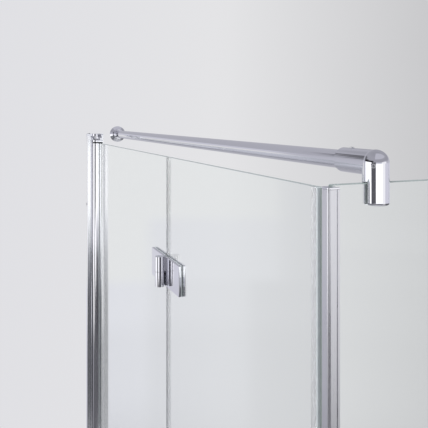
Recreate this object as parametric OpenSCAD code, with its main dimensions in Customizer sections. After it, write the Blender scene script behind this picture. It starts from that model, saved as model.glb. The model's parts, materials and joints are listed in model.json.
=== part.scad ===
// Corner shower enclosure: a folding door on a pivot column, a fixed side panel and a stabiliser bar.
// X runs along the door away from its wall, Y into the enclosure, Z up.
// The origin is on the floor, at the centre of the whole object's outline.

/* [Enclosure] */
// Wall behind the door's pivot to the middle of the side panel glass
span = 996; // [860:2:1200]
// Middle of the door glass to the back wall
depth = 1000; // [700:10:1200]
// Floor to the top of the side panel glass
height = 1950; // [1800:10:2100]
// Door-side wall to the fold between the two door panels
fold_from_wall = 553; // [440:1:560]

/* [Glass] */
// Thickness of all panes
glass_t = 6; // [5:0.5:8]
// How far the door glass ends below the side panel glass
door_drop = 4; // [2:0.5:8]
// Floor to the bottom edge of the door glass
door_lift = 14; // [13:0.5:20]
// Gap between the two door panes
pane_gap = 4; // [3:0.5:6]

/* [Wall profile] */
// Width of the profile along the wall, outside of the pivot axis
seat_outer_w = 22; // [20:0.5:26]
// Width of the profile along the wall, inside of the pivot axis
seat_inner_w = 18; // [18:0.5:24]
// How far the outer lip stands off the wall
lip_reach = 14; // [12:0.5:16]
// How far the inner flank stands off the wall
flank_reach = 5; // [4.6:0.1:5.2]
// Wall thickness of the aluminium profiles
profile_t = 1.6; // [1.2:0.1:1.8]
// Radial gap between the column and its seat
seat_gap = 4.5; // [3:0.5:6]

/* [Pivot column] */
// Wall to the pivot axis
pivot_from_wall = 16; // [16:0.5:20]
// How far the pivot axis lies outside the middle of the glass
pivot_offset = 6; // [5.5:0.5:7]
// Outer diameter of the column
column_d = 20; // [19:0.5:20]
// Pivot axis to the mouth of the glass slot
jaw_len = 14; // [13:0.5:14.5]
// Depth of the glass slot
slot_depth = 7; // [6:0.5:7]
// Glazing gasket thickness on each side of the glass in the column
column_gasket_t = 0.8; // [0.6:0.1:1]
// Pivot pin diameter
pin_d = 8; // [6:0.5:8]
// Bush wall thickness
bush_t = 1.2; // [1:0.1:1.2]
// Length of the bush inside the column
bush_len = 24; // [15:1:40]
// Running clearance of every pin, on the radius
pin_play = 0.05; // [0.02:0.01:0.08]
// Height of the chrome cap on the column
cap_h = 5.5; // [4:0.5:8]
// Thickness of the pivot brackets
bracket_t = 5.5; // [4:0.5:7]
// Boss height under the top bracket
boss_h = 6; // [4:0.5:8]
// Clear height between the column's cap and the boss
cap_gap = 2.5; // [1:0.5:5]

/* [Stabiliser bar] */
// Bar diameter
bar_d = 18; // [14:1:20]
// Bar wall thickness
bar_t = 1.5; // [1:0.1:2.5]
// Bar axis inside the middle of the door glass
bar_y = 48; // [44:1:80]
// Bar axis above the side panel glass
bar_rise = 17; // [16:0.5:30]
// Wall rosette diameter
rosette_d = 38; // [34:1:50]
// Wall rosette thickness
rosette_t = 4.5; // [3:0.5:8]
// Boss of the rosette, diameter
socket_d = 25; // [23:0.5:30]
// Rosette boss, distance from the wall to its front
socket_reach = 15; // [12:0.5:25]
// Thickness of the rosette at its rim
rosette_rim_t = 1.6; // [1:0.1:2.5]

/* [Glass clamp] */
// Diameter of the upright clamp body
clamp_d = 24; // [22.5:0.5:24]
// How far the clamp reaches down past the glass top
clamp_grip = 20; // [14:1:40]
// Diameter of the clamp's sleeve on the bar
sleeve_d = 23.4; // [22:0.2:24]
// Clamp axis to the open end of the sleeve
sleeve_len = 48; // [36:1:60]
// Pad thickness between clamp and glass
pad_t = 0.6; // [0.5:0.1:1.5]
// Rounding of the clamp's lower edge
clamp_edge_r = 2.4; // [0.5:0.1:3]

/* [Fold hinge] */
// Height of the hinge plates
plate_h = 46; // [40:1:70]
// Fold line to the outer edge of a plate
plate_reach = 69; // [60:1:90]
// Thickness of a plate
plate_t = 3.5; // [2.5:0.5:5]
// Gasket between plate and glass
hinge_gasket_t = 0.8; // [0.5:0.1:1.5]
// Diameter of the hinge barrel
barrel_d = 14.4; // [13:0.2:16]
// Hinge pin diameter
hinge_pin_d = 6; // [4:0.5:7]
// Gap between barrel and the plate it turns past
barrel_gap = 0.5; // [0.4:0.1:0.8]
// Width of the neck that carries a knuckle on its plate
neck_w = 4.5; // [3:0.5:6]
// Middle of a hinge to the nearer end of the door glass
hinge_from_end = 176; // [100:2:300]

/* [Side panel] */
// Width of the edge profile of the side panel
edge_w = 12; // [11:0.5:15]
// Depth of the edge profile along the pane
edge_len = 11.6; // [11:0.1:24]
// How far the edge profile's front stands out past the door glass
edge_proud = 2.4; // [1.5:0.1:4]
// Rounding of the edge profile's front corners
edge_corner_r = 2.5; // [1:0.1:3]
// How far the edge profile's cap ends below the top of the pane
edge_drop = 2; // [1:0.5:6]
// How deep the pane sits in the edge profile
edge_grip = 6; // [5:0.5:6.5]
// Width of the back wall channel
back_w = 22; // [20:0.5:30]
// Depth of the back wall channel
back_channel_depth = 24; // [20:1:35]
// How far the glass profile stands out of the back wall channel
back_profile_out = 10; // [6:1:14]
// Base rail height
rail_h = 14; // [12:0.5:20]
// Base rail width
rail_w = 11; // [10.6:0.2:14]

/* [Door furniture] */
// Knob diameter
knob_d = 28; // [24:1:40]
// Knob reach from the glass
knob_reach = 28; // [22:1:32]
// Rounding of the knob's rim
knob_rim_r = 3; // [1:0.5:4]
// Knob height above the floor
knob_z = 1050; // [900:10:1150]
// Knob axis to the free edge of the door
knob_inset = 45; // [30:1:80]
// Gap between the free edge of the door glass and the side panel's middle
closing_gap = 15; // [14.5:0.5:20]
// Height of the water strip on the floor
strip_h = 6; // [4:0.5:6]
// Width of the water strip
strip_w = 14; // [10:1:24]

/* [Hidden] */
$fn = 48;
eps = 0.01;
// Clearances between bodies, and between a part and the part of its own body that it slips into
body_gap = 0.3;
slip_gap = 0.1;
clearance_hole = 0.5;
// How far a cut runs past the face that it opens
overcut = 0.5;
glass_tint = [0.80, 0.90, 0.90, 0.35];

// Places along X
wall_x = -(span + clamp_d/2)/2;
pivot_x = wall_x + pivot_from_wall;
fold_x = wall_x + fold_from_wall;
side_x = wall_x + span;
free_x = side_x - closing_gap;
inner_edge_x = fold_x - pane_gap/2;
outer_edge_x = fold_x + pane_gap/2;
inner_glass_x = pivot_x + jaw_len - slot_depth + column_gasket_t;

// Places along Y
front_reach = glass_t/2 + knob_reach;
door_y = -(depth - front_reach)/2;
back_y = door_y + depth;
pivot_y = door_y - pivot_offset;
bar_axis_y = door_y + bar_y;

// Places along Z
door_top = height - door_drop;
bar_z = height + bar_rise;
bush_flange_t = 3;
foot_flange_t = 2;
cap_top = door_top + bush_flange_t + cap_h;
boss_bottom = cap_top + cap_gap;
bracket_z = boss_bottom + boss_h;
washer_t = 1.7;
washer_rim = 3;
foot_cap_h = 3;
foot_boss_h = door_lift - bracket_t - foot_flange_t - washer_t - body_gap - foot_cap_h;
foot_cap_z = door_lift - foot_flange_t - foot_cap_h;

// The column's section, with the glass off the pivot axis
column_r = column_d/2;
cheek_t = 1.2;
slot_w = glass_t + 2*column_gasket_t;
jaw_w = slot_w + 2*cheek_t;
cap_margin = 0.45;
bore_d = pin_d + 2*pin_play;
chamber_d = bore_d + 2*bush_t;

// The seat of the column in the wall profile
seat_r = column_r + seat_gap;
seat_low_y = pivot_y - seat_outer_w;
seat_high_y = pivot_y + seat_inner_w;
web_gap = 0.2;
seat_web_x = wall_x + profile_t + web_gap;
wall_hole_d = 5.2;
wall_hole_y = seat_low_y + profile_t + 5;
lip_corner_r = profile_t;
wall_hole_pitch = 1500;
wall_hole_z = 200;
wall_hole_zs = [wall_hole_z, wall_hole_z + wall_hole_pitch];

// Lock screws that hold each glass profile in its wall channel
lock_screw_zs = [120, height/2, height - 150];
lock_screw_d = 3;
lock_head_d = 5.6;
lock_screw_x = wall_x + 8;
lock_screw_in = 8;

// Hinge places
plate_back = -(glass_t/2 + hinge_gasket_t);
plate_front = plate_t - plate_back;
barrel_r = barrel_d/2;
barrel_offset = plate_front + barrel_r + barrel_gap;
upper_hinge_z = door_top - hinge_from_end;
lower_hinge_z = door_lift + hinge_from_end;
hinge_zs = [upper_hinge_z, lower_hinge_z];
knuckle_gap = 0.4;
knuckle_end_t = 3;
plate_edge = 2;
plate_corner_r = 4;
plate_chamfer = 1;
plate_bow = 1.2;
screw_inset_near = 24;
screw_inset_far = 52;
hinge_screw_ds = [screw_inset_near, screw_inset_far];
hinge_screw_d = 5;
hinge_screw_blind = 1;
hinge_head_d = 9;
hinge_head_t = 1.4;
hinge_head_sink = 0.2;
hinge_key_d = 3;
hinge_key_past = 0.2;
glass_hole_d = 12;

// Side panel places
edge_half_w = edge_w/2;
edge_front_y = door_y - glass_t/2 - edge_proud;
edge_end_y = edge_front_y + edge_len;
edge_stop_t = 1.2;
edge_cap_t = 2;
edge_top = height - edge_drop - edge_cap_t;
edge_groove_in = 8.6;
edge_groove_y = edge_front_y + edge_groove_in;
edge_groove_w = 1.6;
edge_groove_depth = 0.7;
side_glass_y0 = edge_end_y - edge_grip;
rail_floor_t = 1.2;
block_t = 2.8;
side_glass_z0 = rail_floor_t + block_t;
back_mouth_y = back_y - back_channel_depth;
glass_profile_w = back_w - 2*profile_t - 2*slip_gap;
glass_profile_y0 = back_mouth_y - back_profile_out;
wall_screw_space = 6;
glass_profile_y1 = back_y - wall_screw_space;
glass_profile_grip = 14;
side_glass_y1 = glass_profile_y0 + glass_profile_grip;
back_gasket_w = (glass_profile_w - 2*profile_t - glass_t)/2;
back_screw_y = back_mouth_y + lock_screw_in;

// Seals at the free edge
free_seal_out = 1.8;
magnet_gap = 1.5;
magnet_w = 6;
magnet_seat = profile_t/2;
magnet_y = door_y + 1;
magnet_x = free_x + free_seal_out + magnet_gap;
seal_t = 1;
seal_leg = 9;

// A flat shape made upright between two heights
module upright(z0, z1) {
    translate([0, 0, z0]) linear_extrude(z1 - z0) children();
}

// A rectangle between two corners
module area(x0, y0, x1, y1) {
    translate([x0, y0]) square([x1 - x0, y1 - y0]);
}

// Round bars along each axis, from a point
module bar_x(x0, x1, y, z, d) {
    translate([x0, y, z]) rotate([0, 90, 0]) cylinder(d = d, h = x1 - x0);
}

module bar_y_dir(x, y0, y1, z, d) {
    translate([x, y0, z]) rotate([-90, 0, 0]) cylinder(d = d, h = y1 - y0);
}

module bar_z_dir(x, y, z0, z1, d) {
    translate([x, y, z0]) cylinder(d = d, h = z1 - z0);
}

// Wall side: channel and profile

module wall_channel() {
    y0 = seat_low_y + profile_t + slip_gap;
    y1 = seat_high_y - profile_t - slip_gap;
    lip_clearance = 2;
    color("gainsboro") difference() {
        upright(0, bracket_z) {
            area(wall_x, y0, wall_x + profile_t, y1);
            area(wall_x, y0, wall_x + lip_reach - profile_t - lip_clearance, y0 + profile_t);
            area(wall_x, y1 - profile_t, wall_x + flank_reach - profile_t - slip_gap, y1);
        }
        for (z = wall_hole_zs)
            bar_x(wall_x - 1, wall_x + profile_t + 1, wall_hole_y, z, wall_hole_d);
    }
}

module seat_section() {
    ring_r = seat_r + profile_t;
    lip_x = wall_x + lip_reach;
    // Flanges, lip with its rounded corner, and flank
    area(wall_x + slip_gap, seat_low_y, lip_x - lip_corner_r, seat_low_y + profile_t);
    area(lip_x - profile_t, seat_low_y + lip_corner_r, lip_x, pivot_y - seat_r + profile_t/2);
    translate([lip_x - lip_corner_r, seat_low_y + lip_corner_r]) circle(r = lip_corner_r);
    area(wall_x + slip_gap, seat_high_y - profile_t, wall_x + flank_reach, seat_high_y);
    // Seat concentric with the column, cut off at the web
    difference() {
        intersection() {
            translate([pivot_x, pivot_y]) circle(r = ring_r);
            union() {
                area(seat_web_x, pivot_y - ring_r, wall_x + lip_reach, pivot_y);
                area(seat_web_x, pivot_y, wall_x + flank_reach, seat_high_y);
            }
        }
        translate([pivot_x, pivot_y]) circle(r = seat_r);
    }
    intersection() {
        area(seat_web_x, pivot_y - seat_r, seat_web_x + profile_t, pivot_y + seat_r);
        translate([pivot_x, pivot_y]) circle(r = ring_r);
    }
    area(wall_x + flank_reach - profile_t, pivot_y + flank_start(), wall_x + flank_reach, seat_high_y);
}

// Where the seat's circle meets the inner flank
function flank_start() = sqrt(seat_r*seat_r - pow(pivot_from_wall - flank_reach, 2));

module wall_profile() {
    color("gainsboro") difference() {
        upright(0, bracket_z) seat_section();
        for (z = lock_screw_zs)
            bar_y_dir(lock_screw_x, seat_low_y - 1, seat_low_y + profile_t + 1, z,
                lock_screw_d + 2*slip_gap);
        at_foot_screws() bar_x(wall_x + 1, wall_x + flank_reach + 1, 0, 0, foot_screw_d);
    }
}

module profile_lock_screws() {
    head_t = 0.8;
    color("silver") for (z = lock_screw_zs) {
        bar_y_dir(lock_screw_x, seat_low_y - head_t, seat_low_y, z, lock_head_d);
        bar_y_dir(lock_screw_x, seat_low_y - eps, seat_low_y + profile_t, z, lock_screw_d);
    }
}

// Pivot brackets, one over and one under the column

module bracket_outline() {
    area(wall_x, seat_low_y, wall_x + lip_reach, pivot_y - column_r + 1);
    area(wall_x, seat_low_y, wall_x + flank_reach, seat_high_y);
    area(wall_x, pivot_y - column_r - 1, pivot_x, pivot_y + column_r + 1);
    translate([pivot_x, pivot_y]) circle(r = column_r + 1);
}

pivot_boss_d = pin_d + 4;
pin_roof_t = 1.5;
bracket_screw_d = 3;
bracket_screw_head_d = 6;
bracket_screw_head_t = 1.4;
bracket_screw_len = 12;
bracket_screw_x = wall_x + 8;
bracket_screw_y = seat_low_y + 5;
pivot_screw_d = 3;
pivot_screw_out = 5;
pivot_screw_head_t = 3;

module bracket_screw_bar(z0, z1, d) {
    bar_z_dir(bracket_screw_x, bracket_screw_y, z0, z1, d);
}

module top_pivot_bracket() {
    top = bracket_z + bracket_t;
    color("silver") difference() {
        union() {
            upright(bracket_z, top) bracket_outline();
            bar_z_dir(pivot_x, pivot_y, boss_bottom, bracket_z + eps, pivot_boss_d);
        }
        bracket_screw_bar(bracket_z - 1, top + 1, bracket_screw_d + 4*slip_gap);
        bar_z_dir(pivot_x, pivot_y, boss_bottom - 1, top - pin_roof_t, pin_d);
        bar_y_dir(pivot_x, pivot_y, pivot_y + pin_d, boss_bottom + boss_h/2, pivot_screw_d);
    }
}

module top_bracket_screws() {
    top = bracket_z + bracket_t;
    color("silver") {
        bracket_screw_bar(top, top + bracket_screw_head_t, bracket_screw_head_d);
        bracket_screw_bar(bracket_z - bracket_screw_len, top + eps, bracket_screw_d);
    }
}

module top_pivot_pin() {
    color("silver")
        bar_z_dir(pivot_x, pivot_y, door_top - bush_len, bracket_z + bracket_t - pin_roof_t, pin_d);
}

module pivot_lock_screw() {
    z = boss_bottom + boss_h/2;
    y0 = pivot_y + pin_d/2;
    y1 = y0 + pivot_screw_out;
    color("dimgray") {
        bar_y_dir(pivot_x, y0, y1 + eps, z, pivot_screw_d);
        bar_y_dir(pivot_x, y1, y1 + pivot_screw_head_t, z, lock_head_d);
    }
}

module bottom_pivot_bracket() {
    color("silver") difference() {
        union() {
            bracket_plate_bottom();
            bar_z_dir(pivot_x, pivot_y, bracket_t - eps, bracket_t + foot_boss_h, pivot_boss_d);
        }
        bar_z_dir(pivot_x, pivot_y, pin_roof_t, door_lift, pin_d);
        at_foot_screws() foot_screw_hole();
    }
}

// The lower plate nests in the seat of the wall profile, which runs down to the floor
module bracket_plate_bottom() {
    seat_face_x = seat_web_x + profile_t;
    upright(0, bracket_t) {
        translate([pivot_x, pivot_y]) circle(r = column_r + 1);
        intersection() {
            translate([pivot_x, pivot_y]) circle(r = seat_r - slip_gap);
            area(seat_face_x, pivot_y - column_r - 1, pivot_x, pivot_y + column_r + 1);
        }
    }
}

foot_screw_d = 3;
foot_screw_gap = 0.5;
foot_screw_head_x = pivot_x + 4;

module at_foot_screws() {
    off = pin_d/2 + foot_screw_d/2 + foot_screw_gap;
    for (s = [-1, 1]) translate([0, pivot_y + s*off, bracket_t/2]) children();
}

module foot_screw_hole() {
    bar_x(wall_x + 1, pivot_x + column_r + 2, 0, 0, foot_screw_d);
    bar_x(foot_screw_head_x, pivot_x + column_r + 2, 0, 0, bracket_t - 1);
}

module bottom_bracket_screws() {
    color("silver") at_foot_screws() {
        bar_x(seat_web_x, foot_screw_head_x + 1, 0, 0, foot_screw_d);
        bar_x(foot_screw_head_x, foot_screw_head_x + 2, 0, 0, bracket_t - 1);
    }
}

module bottom_pivot_pin() {
    color("silver") bar_z_dir(pivot_x, pivot_y, pin_roof_t, door_lift + bush_len, pin_d);
}

module thrust_washer() {
    z0 = bracket_t + foot_boss_h;
    color("dimgray") difference() {
        bar_z_dir(pivot_x, pivot_y, z0, z0 + washer_t, pin_d + 2*washer_rim);
        bar_z_dir(pivot_x, pivot_y, z0 - 1, z0 + washer_t + 1, pin_d);
    }
}

// Stabiliser bar, its wall rosette and the glass clamp

rosette_hole_d = 5.4;
boss_edge_r = 1.5;
grub_d = 4;
rosette_grub_in = 5;
rosette_grub_x = wall_x + socket_reach - rosette_grub_in;
grub_proud = 0.4;
grub_key_d = 2;

// Half section: a sloping flange and a boss with a rounded front edge, with the wall at the bottom
module rosette_section() {
    polygon([[0, 0], [rosette_d/2, 0], [rosette_d/2, rosette_rim_t], [socket_d/2, rosette_t],
        [0, rosette_t]]);
    area(0, 0, socket_d/2, socket_reach - boss_edge_r);
    area(0, 0, socket_d/2 - boss_edge_r, socket_reach);
    translate([socket_d/2 - boss_edge_r, socket_reach - boss_edge_r]) circle(r = boss_edge_r);
}

module bar_rosette() {
    color("silver") difference() {
        translate([wall_x, bar_axis_y, bar_z]) rotate([0, 90, 0]) rotate_extrude() rosette_section();
        bar_x(wall_x + rosette_t, wall_x + socket_reach + 1, bar_axis_y, bar_z, bar_d + 2*slip_gap);
        bar_x(wall_x - 1, wall_x + rosette_t + 1, bar_axis_y, bar_z, rosette_hole_d);
        bar_z_dir(rosette_grub_x, bar_axis_y, bar_z - socket_d, bar_z - bar_d/2 + overcut, grub_d);
    }
}

module bar_rosette_grub_screw() {
    color("dimgray")
        bar_z_dir(rosette_grub_x, bar_axis_y, bar_z - socket_d/2 - grub_proud, bar_z - bar_d/2,
            grub_d);
}

module stabiliser_bar() {
    x0 = wall_x + rosette_t;
    x1 = side_x - sleeve_len + bar_in_sleeve();
    color("silver") difference() {
        bar_x(x0, x1, bar_axis_y, bar_z, bar_d);
        bar_x(x0 - 1, x1 + 1, bar_axis_y, bar_z, bar_d - 2*bar_t);
    }
}

function bar_in_sleeve() = sleeve_len - clamp_d/2 - 4;

// Where the small set screw in the clamp's face sits, seen from above
clamp_face_angle = -47;
jaw_screw_z = height - clamp_grip/2;
sleeve_screw_in = 35;
sleeve_screw_x = side_x - sleeve_screw_in;
sleeve_screw_proud = 0.9;
face_screw_len = 5;
face_screw_proud = 0.2;

module clamp_face_place() {
    translate([side_x, bar_axis_y, bar_z - 2]) rotate([0, 90, clamp_face_angle]) children();
}

// Half section of the upright body, with a rounded lower edge
module clamp_section() {
    r = clamp_d/2;
    foot = height - clamp_grip;
    area(0, foot + clamp_edge_r, r, bar_z);
    area(0, foot, r - clamp_edge_r, bar_z);
    translate([r - clamp_edge_r, foot + clamp_edge_r]) circle(r = clamp_edge_r);
}

module glass_clamp() {
    color("silver") difference() {
        union() {
            translate([side_x, bar_axis_y, 0]) rotate_extrude() clamp_section();
            translate([side_x, bar_axis_y, bar_z]) sphere(d = clamp_d);
            bar_x(side_x - sleeve_len, side_x, bar_axis_y, bar_z, sleeve_d);
        }
        translate([side_x - glass_t/2 - pad_t, bar_axis_y - clamp_d, height - clamp_grip - 1])
            cube([glass_t + 2*pad_t, 2*clamp_d, clamp_grip + pad_t + 1]);
        bar_x(side_x - sleeve_len - 1, side_x - sleeve_len + bar_in_sleeve(), bar_axis_y, bar_z,
            bar_d + 2*slip_gap);
        bar_x(side_x - clamp_d, side_x - glass_t/2 - pad_t + eps, bar_axis_y, jaw_screw_z, grub_d);
        bar_z_dir(sleeve_screw_x, bar_axis_y, bar_z + bar_d/2 - overcut, bar_z + sleeve_d, grub_d);
        clamp_face_place() cylinder(d = grub_d, h = clamp_d);
    }
}

// Clear pads that fill the jaw out to just inside its round outline
module clamp_pads() {
    pad_inset = 0.6;
    pad_z = height - clamp_grip + 1;
    color("gainsboro") intersection() {
        bar_z_dir(side_x, bar_axis_y, pad_z, height, clamp_d - 2*pad_inset);
        for (s = [-1, 1])
            translate([side_x + s*(glass_t + pad_t)/2 - pad_t/2, bar_axis_y - clamp_d, pad_z])
                cube([pad_t, 2*clamp_d, clamp_grip - 1]);
    }
}

module clamp_grub_screws() {
    color("dimgray") {
        bar_x(side_x - clamp_d/2 + 1, side_x - glass_t/2 - pad_t, bar_axis_y, jaw_screw_z, grub_d);
        difference() {
            bar_z_dir(sleeve_screw_x, bar_axis_y, bar_z + bar_d/2, bar_z + sleeve_d/2 + sleeve_screw_proud,
                grub_d);
            bar_z_dir(sleeve_screw_x, bar_axis_y, bar_z + sleeve_d/2 - overcut, bar_z + sleeve_d,
                grub_key_d);
        }
        clamp_face_place() difference() {
            cylinder(d = grub_d, h = clamp_d/2 + face_screw_proud);
            translate([0, 0, clamp_d/2 - 2]) cylinder(d = grub_key_d, h = 4);
            translate([0, 0, -eps]) cylinder(d = grub_d + 1, h = clamp_d/2 - face_screw_len);
        }
    }
}

// Side panel

module side_glass() {
    color(glass_tint)
        translate([side_x - glass_t/2, side_glass_y0, side_glass_z0])
            cube([glass_t, side_glass_y1 - side_glass_y0, height - side_glass_z0]);
}

edge_mouth_w = edge_w - 2*profile_t;

// Flat front with rounded corners
module edge_outline() {
    for (s = [-1, 1])
        translate([side_x + s*(edge_half_w - edge_corner_r), edge_front_y + edge_corner_r])
            circle(r = edge_corner_r);
    area(side_x - edge_half_w + edge_corner_r, edge_front_y,
        side_x + edge_half_w - edge_corner_r, edge_end_y);
    area(side_x - edge_half_w, edge_front_y + edge_corner_r, side_x + edge_half_w, edge_end_y);
}

// A closed chamber in front, the channel for the pane behind it, a seat for the magnet and a shadow groove
module side_edge_profile() {
    color("silver") upright(edge_cap_t, edge_top) difference() {
        edge_outline();
        area(side_x - edge_mouth_w/2, side_glass_y0, side_x + edge_mouth_w/2, edge_end_y + 1);
        area(side_x - edge_mouth_w/2, edge_front_y + profile_t, side_x + edge_mouth_w/2,
            side_glass_y0 - edge_stop_t);
        area(side_x - edge_half_w - 1, magnet_y - magnet_w/2, side_x - edge_half_w + magnet_seat,
            magnet_y + magnet_w/2);
        area(side_x + edge_half_w - edge_groove_depth, edge_groove_y - edge_groove_w/2,
            side_x + edge_half_w + 1, edge_groove_y + edge_groove_w/2);
    }
}

module side_edge_gaskets() {
    gasket = (edge_mouth_w - glass_t)/2;
    color("dimgray") upright(edge_cap_t, edge_top) for (s = [-1, 1])
        translate([side_x + s*(glass_t + gasket)/2 - gasket/2, side_glass_y0 + 1])
            square([gasket, edge_grip - 1]);
}

// The top cap leaves a slot for the pane, which stands a little higher
module side_edge_caps() {
    slot_w = glass_t + 2*slip_gap;
    color("silver") {
        upright(0, edge_cap_t) edge_outline();
        upright(edge_top, edge_top + edge_cap_t) difference() {
            edge_outline();
            area(side_x - slot_w/2, side_glass_y0 - slip_gap, side_x + slot_w/2, edge_end_y + 1);
        }
    }
}

module magnet_strip() {
    color("dimgray") upright(edge_cap_t, edge_top)
        area(magnet_x, magnet_y - magnet_w/2, side_x - edge_half_w + magnet_seat, magnet_y + magnet_w/2);
}

module back_channel() {
    color("gainsboro") difference() {
        upright(0, height) difference() {
            area(side_x - back_w/2, back_mouth_y, side_x + back_w/2, back_y);
            area(side_x - back_w/2 + profile_t, back_mouth_y - 1, side_x + back_w/2 - profile_t,
                back_y - profile_t);
        }
        for (z = wall_hole_zs)
            bar_y_dir(side_x, back_y - profile_t - 1, back_y + 1, z, wall_hole_d);
        for (z = lock_screw_zs)
            bar_x(side_x - back_w, side_x - back_w/2 + profile_t + 1, back_screw_y, z,
                lock_screw_d + 2*slip_gap);
    }
}

// The glass profile is open to the wall, so the wall screws stay clear of it
module back_glass_profile() {
    w = glass_profile_w;
    color("gainsboro") difference() {
        upright(0, height) difference() {
            area(side_x - w/2, glass_profile_y0, side_x + w/2, glass_profile_y1);
            area(side_x - w/2 + profile_t, glass_profile_y0 - 1, side_x + w/2 - profile_t, side_glass_y1);
            area(side_x - w/2 + profile_t, side_glass_y1 + profile_t, side_x + w/2 - profile_t, back_y);
        }
        for (z = lock_screw_zs)
            bar_x(side_x - w, side_x - w/2 + profile_t + 1, back_screw_y, z, lock_screw_d);
    }
}

module back_gaskets() {
    color("dimgray") upright(0, height) for (s = [-1, 1])
        translate([side_x + s*(glass_t + back_gasket_w)/2 - back_gasket_w/2, glass_profile_y0])
            square([back_gasket_w, glass_profile_grip - 2]);
}

module back_lock_screws() {
    head_t = 1.6;
    color("silver") for (z = lock_screw_zs) {
        bar_x(side_x - back_w/2 - head_t, side_x - back_w/2, back_screw_y, z, lock_head_d);
        bar_x(side_x - back_w/2 - eps, side_x - back_w/2 + 2*profile_t, back_screw_y, z, lock_screw_d);
    }
}

module back_profile_cap() {
    color("silver") upright(height, height + edge_cap_t) union() {
        area(side_x - back_w/2, back_mouth_y, side_x + back_w/2, back_y);
        area(side_x - glass_profile_w/2, glass_profile_y0, side_x + glass_profile_w/2, back_mouth_y + 1);
    }
}

module base_rail() {
    y0 = edge_end_y;
    y1 = glass_profile_y0;
    color("gainsboro") difference() {
        translate([side_x - rail_w/2, y0, 0]) cube([rail_w, y1 - y0, rail_h]);
        translate([side_x - rail_w/2 + profile_t, y0 - 1, rail_floor_t])
            cube([rail_w - 2*profile_t, y1 - y0 + 2, rail_h]);
    }
}

module base_rail_gaskets() {
    gasket = (rail_w - 2*profile_t - glass_t)/2;
    color("dimgray") for (s = [-1, 1])
        translate([side_x + s*(glass_t + gasket)/2 - gasket/2, edge_end_y, side_glass_z0])
            cube([gasket, glass_profile_y0 - edge_end_y, rail_h - side_glass_z0]);
}

module setting_blocks() {
    block_len = 60;
    inset = 120;
    color("dimgray") for (y = [edge_end_y + inset, glass_profile_y0 - inset - block_len])
        translate([side_x - rail_w/2 + profile_t, y, rail_floor_t])
            cube([rail_w - 2*profile_t, block_len, block_t]);
}

// Water strip on the floor under the door

strip_cap_len = 12;
strip_x0 = pivot_x + column_r + 1 + slip_gap;
strip_x1 = magnet_x - slip_gap;

module strip_section() {
    lip_t = 1.2;
    ridge_w = 3;
    polygon([[-strip_w/2, 0], [strip_w/2, 0], [strip_w/2, lip_t], [ridge_w/2, strip_h],
        [-ridge_w/2, strip_h], [-strip_w/2, lip_t]]);
}

module along_x(x0, x1) {
    translate([x0, door_y, 0]) rotate([90, 0, 90]) linear_extrude(x1 - x0) children();
}

module water_strip() {
    color("gainsboro") along_x(strip_x0 + strip_cap_len, strip_x1 - strip_cap_len) strip_section();
}

module water_strip_end_caps() {
    color("dimgray") {
        along_x(strip_x0, strip_x0 + strip_cap_len) strip_section();
        along_x(strip_x1 - strip_cap_len, strip_x1) strip_section();
    }
}

// First door panel: column, glass and its half of the hinges

module jaw_area(margin) {
    translate([pivot_x, door_y - jaw_w/2 - margin]) square([jaw_len + margin, jaw_w + 2*margin]);
}

module column_outline(margin) {
    translate([pivot_x, pivot_y]) circle(r = column_r + margin);
    jaw_area(margin);
}

module pivot_column() {
    color("silver") upright(door_lift, door_top) difference() {
        column_outline(0);
        translate([pivot_x, pivot_y]) circle(d = chamber_d);
        translate([pivot_x + jaw_len - slot_depth, door_y - slot_w/2]) square([slot_depth + 1, slot_w]);
    }
}

module cap_with_hole(z0, z1) {
    difference() {
        upright(z0, z1) column_outline(cap_margin);
        bar_z_dir(pivot_x, pivot_y, z0 - 1, z1 + 1, pin_d + 2*clearance_hole);
    }
}

module column_top_cap() {
    color("silver") cap_with_hole(door_top + bush_flange_t, cap_top);
}

module column_bottom_cap() {
    color("silver") cap_with_hole(foot_cap_z, foot_cap_z + foot_cap_h);
}

module flanged_bush(z_flange0, z_flange1, z_tube0, z_tube1) {
    difference() {
        union() {
            upright(z_flange0, z_flange1) column_outline(cap_margin);
            bar_z_dir(pivot_x, pivot_y, z_tube0, z_tube1, chamber_d);
        }
        bar_z_dir(pivot_x, pivot_y, min(z_flange0, z_tube0) - 1, max(z_flange1, z_tube1) + 1, bore_d);
    }
}

module top_bush() {
    color("dimgray") flanged_bush(door_top, door_top + bush_flange_t, door_top - bush_len, door_top + eps);
}

module bottom_bush() {
    color("dimgray") flanged_bush(door_lift - foot_flange_t, door_lift, door_lift - eps,
        door_lift + bush_len);
}

module column_gaskets() {
    x0 = inner_glass_x;
    color("dimgray") upright(door_lift, door_top) for (s = [-1, 1])
        translate([x0, door_y + s*(glass_t + column_gasket_t)/2 - column_gasket_t/2])
            square([pivot_x + jaw_len - x0, column_gasket_t]);
}

module pane_hole(x, z) {
    bar_y_dir(x, door_y - glass_t, door_y + glass_t, z, glass_hole_d);
}

module door_pane(x0, x1) {
    translate([x0, door_y - glass_t/2, door_lift]) cube([x1 - x0, glass_t, door_top - door_lift]);
}

module inner_glass() {
    color(glass_tint) difference() {
        door_pane(inner_glass_x, inner_edge_x);
        for (z = hinge_zs, d = hinge_screw_ds) pane_hole(fold_x - d, z);
    }
}

module outer_glass() {
    color(glass_tint) difference() {
        door_pane(outer_edge_x, free_x);
        for (z = hinge_zs, d = hinge_screw_ds) pane_hole(fold_x + d, z);
        pane_hole(knob_x, knob_z);
    }
}

// Outline of a hinge plate, seen from the front, reaching towards +X from the fold
module plate_outline(corner_r) {
    bow_r = plate_h*plate_h/(8*plate_bow);
    intersection() {
        union() {
            area(plate_edge, -plate_h/2, plate_reach - corner_r, plate_h/2);
            area(plate_edge, -plate_h/2 + corner_r, plate_reach, plate_h/2 - corner_r);
            for (s = [-1, 1]) translate([plate_reach - corner_r, s*(plate_h/2 - corner_r)])
                circle(r = corner_r);
        }
        translate([plate_reach - bow_r, 0]) circle(r = bow_r, $fn = 180);
    }
}

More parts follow.
